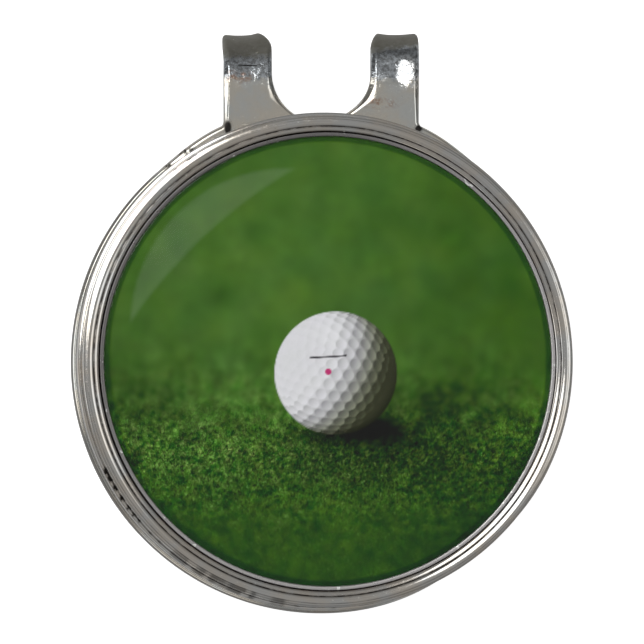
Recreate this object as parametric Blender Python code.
"""Golf ball marker in a magnetic hat clip.

A plated steel plate with two arms bends over at the top into a spring tongue.
A stepped cup is soldered to the front of the plate. A magnet in the cup's floor
holds a steel marker with a printed face under a clear domed resin.

Frame: the disc's axis is Z, the marker faces +Z, the arms point to +Y.
z = 0 is the plane the clip lies on, at the flat end of the spring tongue.
"""

import math

import bmesh
import bpy

MM = 0.001

# Clip strip
PLATE_R = 14.0          # radius of the back plate
SHOULDER_R = 14.28      # radius of the plate's shoulders beside the arms
SHOULDER_FROM = 22.0    # degrees either side of +Y where the shoulder is full
SHOULDER_TO = 41.0      # degrees either side of +Y where it has faded out
STRIP_T = 0.9           # thickness of the strip
ARM_OUT = 5.46          # half the width over both arms
SLOT_HALF = 2.79        # half the width of the slot between the arms
SLOT_END_Y = 16.15      # centre of the slot's round end
BEND_Y = 15.7           # where the arms start to bend
BEND_IN = 1.83          # inner radius of the bend
SPLIT_GAP = 0.08        # running gap between the fixed and the moving half of the bend
EDGE_ROUND = 0.2        # rounded edges of the strip

# Spring tongue
TONGUE_TIP_Y = -6.6     # end of the tongue, on the far side of the disc's axis
TONGUE_TIP_HALF = 4.5   # half the width at the tip
TONGUE_OUT = 5.16       # half the width where the tongue leaves the bend
TONGUE_SLOT = 3.09      # half the width of its slot there: the arms narrow round the bend
LAND_Y = 1.4            # the flat end of the tongue runs from here to the tip
ARCH_H = 0.8            # how far the tongue arches towards the plate
DIMPLE_Y = 7.4          # grip dimple pressed towards the plate
DIMPLE_H = 0.42
DIMPLE_R = 1.5

# Heights, from the plane the clip lies on
PLATE_BACK = 2 * BEND_IN + STRIP_T
PLATE_FRONT = PLATE_BACK + STRIP_T
FILM = 0.05             # thickness of an adhesive film
GAP = 0.04              # clearance between pieces that rest on each other

# Cup
CUP_R = 13.86
CUP_BOTTOM = PLATE_FRONT + GAP
SOLDER_T = 0.08
SOLDER_R = 12.6
CUP_UNDER = CUP_BOTTOM + SOLDER_T + GAP     # underside of the floor, above the solder
UNDER_R = 12.9
CUP_TOP = PLATE_FRONT + 3.1                 # crest of the outer ridge
BEZEL_R = 13.68                             # the upper tier, above the ledge
LEDGE_Z = CUP_TOP - 1.25
RECESS_R = 12.8
RECESS_FLOOR = 7.05
MAGNET_R = 6.0
MAGNET_T = 1.0
POCKET_R = 6.08
POCKET_FLOOR = RECESS_FLOOR - MAGNET_T - FILM - 3 * GAP

# Marker
MARKER_X = 0.06         # the marker lies a little to one side of its recess
MARKER_R = 12.62
RIM_W = 0.2
BLANK_BOTTOM = RECESS_FLOOR + GAP
BLANK_T = 0.9
RIM_TOP = BLANK_BOTTOM + BLANK_T + 0.45
PRINT_T = 0.1
PRINT_R = 12.34
DOME_R = 12.36
DOME_EDGE = 0.16        # height of the dome's vertical edge
DOME_H = 0.8            # height of the dome at its centre

# The marker's face and the ring are turned with the same number of sides, so their gaps stay even
SIDES = 72

for old in list(bpy.data.objects):
    bpy.data.objects.remove(old)


def material(name, colour, metallic, roughness, alpha=1.0):
    made = bpy.data.materials.new(name)
    made.use_nodes = True
    shader = made.node_tree.nodes["Principled BSDF"]
    shader.inputs["Base Color"].default_value = (*colour, 1.0)
    shader.inputs["Metallic"].default_value = metallic
    shader.inputs["Roughness"].default_value = roughness
    shader.inputs["Alpha"].default_value = alpha
    made.diffuse_color = (*colour, alpha)
    return made


NICKEL = material("nickel_plate", (0.62, 0.61, 0.58), 1.0, 0.22)
CAST = material("cup_plating", (0.60, 0.59, 0.56), 1.0, 0.2)
RIM = material("marker_plating", (0.66, 0.65, 0.63), 1.0, 0.25)
MAGNET = material("magnet_plating", (0.55, 0.55, 0.55), 1.0, 0.3)
GLUE = material("adhesive", (0.72, 0.66, 0.45), 0.0, 0.4)
SOLDER = material("solder", (0.5, 0.5, 0.5), 1.0, 0.45)
PRINT = material("print", (0.05, 0.2, 0.02), 0.0, 0.6)
RESIN = material("resin", (0.85, 0.9, 0.85), 0.0, 0.05, 0.3)

bodies = {}
for title, origin in (
    ("clip_body", (0, 0, 0)),
    ("tongue_hinge", (0, BEND_Y + BEND_IN + STRIP_T / 2, BEND_IN + STRIP_T)),
    ("marker_seat", (MARKER_X, 0, BLANK_BOTTOM)),
):
    empty = bpy.data.objects.new(title, None)
    empty.location = tuple(c * MM for c in origin)
    bpy.context.scene.collection.objects.link(empty)
    bodies[title] = empty


def add_object(name, bm, mat, parent):
    """Link the bmesh, which is in millimetres in world space, as an object under its body's empty."""
    bmesh.ops.recalc_face_normals(bm, faces=bm.faces)
    origin = bodies[parent].location
    for v in bm.verts:
        v.co = v.co * MM - origin
    mesh = bpy.data.meshes.new(name)
    bm.to_mesh(mesh)
    bm.free()
    mesh.materials.append(mat)
    mesh.shade_smooth()
    mesh.set_sharp_from_angle(angle=math.radians(32))
    made = bpy.data.objects.new(name, mesh)
    bpy.context.scene.collection.objects.link(made)
    made.parent = bodies[parent]
    return made


def turned(name, profile, mat, parent, x=0.0):
    """Spin a (radius, height) profile, which starts and ends on the axis, around the disc's axis."""
    bm = bmesh.new()
    ring = [bm.verts.new((r, 0, z)) for r, z in profile]
    edges = [bm.edges.new((a, b)) for a, b in zip(ring, ring[1:])]
    bmesh.ops.spin(
        bm, geom=ring + edges, cent=(0, 0, 0), axis=(0, 0, 1), angle=math.tau, steps=SIDES
    )
    bmesh.ops.remove_doubles(bm, verts=bm.verts, dist=1e-4)
    bmesh.ops.dissolve_degenerate(bm, edges=bm.edges, dist=1e-5)
    bmesh.ops.translate(bm, verts=bm.verts, vec=(x, 0, 0))
    return add_object(name, bm, mat, parent)


def arc(cx, cy, r, start, stop, steps):
    """Points on an arc, angles in degrees, both ends included."""
    out = []
    for i in range(steps + 1):
        a = math.radians(start + (stop - start) * i / steps)
        out.append((cx + r * math.cos(a), cy + r * math.sin(a)))
    return out


def smooth(t):
    t = min(1.0, max(0.0, t))
    return t * t * (3 - 2 * t)


# ---- the clip strip, drawn flat as (x, s) and then bent: s runs from the plate over the bend ----

BEND_MID = BEND_IN + STRIP_T / 2
BEND_LEN = math.pi * BEND_MID            # length of the full half-turn along mid thickness
S_SPLIT = BEND_Y + BEND_LEN / 2          # top of the bend
S_FLAT = BEND_Y + BEND_LEN               # where the tongue leaves the bend
S_TIP = S_FLAT + BEND_Y - TONGUE_TIP_Y
SPLIT_S = SPLIT_GAP / 2                  # half of the running gap


def plate_radius(degrees):
    """The plate's radius at an angle from +Y: its shoulders beside the arms stand out a little."""
    fade = smooth((SHOULDER_TO - abs(degrees)) / (SHOULDER_TO - SHOULDER_FROM))
    return PLATE_R + (SHOULDER_R - PLATE_R) * fade


def bend_point(x, s, t):
    """Place a point of the flat strip: t is 0 on the side that faces the brim."""
    if s <= BEND_Y:
        return (x, s, PLATE_BACK + t)
    centre = PLATE_BACK - BEND_IN
    if s <= S_FLAT:
        turn = (s - BEND_Y) / BEND_MID
        r = BEND_IN + t
        return (x, BEND_Y + r * math.sin(turn), centre + r * math.cos(turn))
    y = BEND_Y - (s - S_FLAT)
    span = BEND_Y - LAND_Y
    lift = ARCH_H * math.sin(math.pi * min(1.0, (BEND_Y - y) / span)) ** 2
    off = math.hypot(x, y - DIMPLE_Y) / DIMPLE_R
    dimple = DIMPLE_H * math.cos(math.pi / 2 * off) ** 2 if off < 1 else 0.0
    return (x, y, STRIP_T - t + lift + dimple)


def strip(name, outline, s_cuts, x_cuts, end_s, parent):
    """Extrude the flat outline, round its edges, cut it across so it can bend, and bend it."""
    bm = bmesh.new()
    face = bm.faces.new([bm.verts.new((x, s, 0)) for x, s in outline])
    out = bmesh.ops.extrude_face_region(bm, geom=[face])
    top = [g for g in out["geom"] if isinstance(g, bmesh.types.BMVert)]
    bmesh.ops.translate(bm, verts=top, vec=(0, 0, STRIP_T))
    bmesh.ops.recalc_face_normals(bm, faces=bm.faces)

    def at_end(edge):
        return all(abs(v.co.y - end_s) < 1e-6 for v in edge.verts)

    rims = [
        e
        for e in bm.edges
        if abs(e.verts[0].co.z - e.verts[1].co.z) < 1e-9 and not at_end(e)
    ]
    bmesh.ops.bevel(bm, geom=rims, offset=EDGE_ROUND, segments=2, profile=0.5, affect="EDGES")
    for s in s_cuts:
        bmesh.ops.bisect_plane(
            bm, geom=bm.verts[:] + bm.edges[:] + bm.faces[:], plane_co=(0, s, 0),
            plane_no=(0, 1, 0), dist=1e-5,
        )
    for x in x_cuts:
        inside = [f for f in bm.faces if f.calc_center_median().y > S_SPLIT]
        edges = {e for f in inside for e in f.edges}
        verts = {v for f in inside for v in f.verts}
        bmesh.ops.bisect_plane(
            bm, geom=list(verts) + list(edges) + inside, plane_co=(x, 0, 0),
            plane_no=(1, 0, 0), dist=1e-5,
        )
    bmesh.ops.triangulate(bm, faces=[f for f in bm.faces if len(f.verts) > 4])
    for v in bm.verts:
        v.co = bend_point(v.co.x, v.co.y, v.co.z)
    return add_object(name, bm, NICKEL, parent)


def bend_cuts(first, last, steps):
    return [first + (last - first) * i / steps for i in range(steps + 1)]


# Fixed half: plate, arms and the front half of the bend
junction = math.degrees(math.asin(ARM_OUT / SHOULDER_R))
plate_arc = []
steps = 84
for i in range(steps + 1):
    from_y = junction + (360 - 2 * junction) * i / steps
    signed = from_y if from_y <= 180 else from_y - 360
    r = plate_radius(signed)
    a = math.radians(90 - from_y)
    plate_arc.append((r * math.cos(a), r * math.sin(a)))
top_s = S_SPLIT - SPLIT_S
outline = plate_arc
outline += [(-ARM_OUT, BEND_Y), (-ARM_OUT, top_s), (-SLOT_HALF, top_s)]
outline += arc(0, SLOT_END_Y, SLOT_HALF, 180, 360, 16)
outline += [(SLOT_HALF, top_s), (ARM_OUT, top_s), (ARM_OUT, BEND_Y)]
strip("clip_plate", outline, bend_cuts(BEND_Y, S_SPLIT, 7)[:-1], [], top_s, "clip_body")

# Moving half: the rear half of the bend and the tongue down to its rounded tip
low_s = S_SPLIT + SPLIT_S
slot_s = S_FLAT + (BEND_Y - SLOT_END_Y)
tip_c = S_TIP - TONGUE_TIP_HALF
outline = [(ARM_OUT, low_s), (TONGUE_OUT, S_FLAT), (TONGUE_OUT, S_FLAT + 4)]
outline += arc(0, tip_c, TONGUE_TIP_HALF, 0, 180, 22)
outline += [(-TONGUE_OUT, S_FLAT + 4), (-TONGUE_OUT, S_FLAT), (-ARM_OUT, low_s)]
outline += [(-SLOT_HALF, low_s)]
outline += arc(0, slot_s, TONGUE_SLOT, 180, 0, 16)
outline += [(SLOT_HALF, low_s)]
s_lines = bend_cuts(S_SPLIT, S_FLAT, 7)[1:]
s_lines += bend_cuts(S_FLAT, S_FLAT + BEND_Y - LAND_Y, 18)[1:]
strip("spring_tongue", outline, s_lines, [-1.5, -0.9, -0.4, 0.0, 0.4, 0.9, 1.5], low_s, "tongue_hinge")

# ---- the cup, and what joins it to the plate ----

turned(
    "solder_layer",
    [
        (0, PLATE_FRONT + GAP + SOLDER_T),
        (SOLDER_R, PLATE_FRONT + GAP + SOLDER_T),
        (SOLDER_R, PLATE_FRONT + GAP),
        (0, PLATE_FRONT + GAP),
    ],
    SOLDER,
    "clip_body",
)

turned(
    "cup",
    [
        (0, CUP_UNDER),
        (UNDER_R, CUP_UNDER),
        (UNDER_R, CUP_BOTTOM),
        (CUP_R - 0.08, CUP_BOTTOM),
        (CUP_R, CUP_BOTTOM + 0.08),
        (CUP_R, LEDGE_Z - 0.14),
        (CUP_R - 0.02, LEDGE_Z - 0.07),
        (CUP_R - 0.08, LEDGE_Z - 0.03),
        (BEZEL_R + 0.01, LEDGE_Z),
        (BEZEL_R, CUP_TOP - 0.14),
        (BEZEL_R - 0.02, CUP_TOP - 0.09),
        (BEZEL_R - 0.09, CUP_TOP - 0.05),
        (BEZEL_R - 0.21, CUP_TOP - 0.02),
        (BEZEL_R - 0.34, CUP_TOP),
        (BEZEL_R - 0.44, CUP_TOP - 0.02),
        (BEZEL_R - 0.54, CUP_TOP - 0.06),
        (BEZEL_R - 0.57, CUP_TOP - 0.16),
        (BEZEL_R - 0.61, CUP_TOP - 0.1),
        (BEZEL_R - 0.7, CUP_TOP - 0.11),
        (BEZEL_R - 0.8, CUP_TOP - 0.16),
        (RECESS_R, CUP_TOP - 0.22),
        (RECESS_R, RECESS_FLOOR),
        (POCKET_R, RECESS_FLOOR),
        (POCKET_R, POCKET_FLOOR),
        (0, POCKET_FLOOR),
    ][::-1],
    CAST,
    "clip_body",
)

glue_z = POCKET_FLOOR + GAP
turned(
    "magnet_adhesive",
    [(0, glue_z + FILM), (MAGNET_R, glue_z + FILM), (MAGNET_R, glue_z), (0, glue_z)],
    GLUE,
    "clip_body",
)
magnet_z = glue_z + FILM + GAP
turned(
    "magnet",
    [
        (0, magnet_z + MAGNET_T),
        (MAGNET_R - 0.1, magnet_z + MAGNET_T),
        (MAGNET_R, magnet_z + MAGNET_T - 0.1),
        (MAGNET_R, magnet_z + 0.1),
        (MAGNET_R - 0.1, magnet_z),
        (0, magnet_z),
    ],
    MAGNET,
    "clip_body",
)

# ---- the marker: steel blank, film, print and dome ----

blank_face = BLANK_BOTTOM + BLANK_T
turned(
    "marker_blank",
    [
        (0, blank_face),
        (MARKER_R - RIM_W, blank_face),
        (MARKER_R - RIM_W, RIM_TOP - 0.05),
        (MARKER_R - RIM_W + 0.05, RIM_TOP),
        (MARKER_R - 0.07, RIM_TOP),
        (MARKER_R, RIM_TOP - 0.07),
        (MARKER_R, BLANK_BOTTOM + 0.15),
        (MARKER_R - 0.15, BLANK_BOTTOM),
        (0, BLANK_BOTTOM),
    ],
    RIM,
    "marker_seat",
    x=MARKER_X,
)
film_z = blank_face + GAP
turned(
    "print_adhesive",
    [(0, film_z + FILM), (PRINT_R - 0.1, film_z + FILM), (PRINT_R - 0.1, film_z), (0, film_z)],
    GLUE,
    "marker_seat",
    x=MARKER_X,
)
print_z = film_z + FILM + GAP
turned(
    "print_insert",
    [(0, print_z + PRINT_T), (PRINT_R, print_z + PRINT_T), (PRINT_R, print_z), (0, print_z)],
    PRINT,
    "marker_seat",
    x=MARKER_X,
)
dome_z = print_z + PRINT_T + GAP
dome = [(0, dome_z + DOME_H)]
for i in range(1, 10):
    u = i / 10
    r = DOME_R * (1 - (1 - u) ** 1.6)
    dome.append((r, dome_z + DOME_EDGE + (DOME_H - DOME_EDGE) * (1 - (r / DOME_R) ** 2.6)))
dome += [(DOME_R, dome_z + DOME_EDGE), (DOME_R, dome_z), (0, dome_z)]
turned("epoxy_dome", dome, RESIN, "marker_seat", x=MARKER_X)
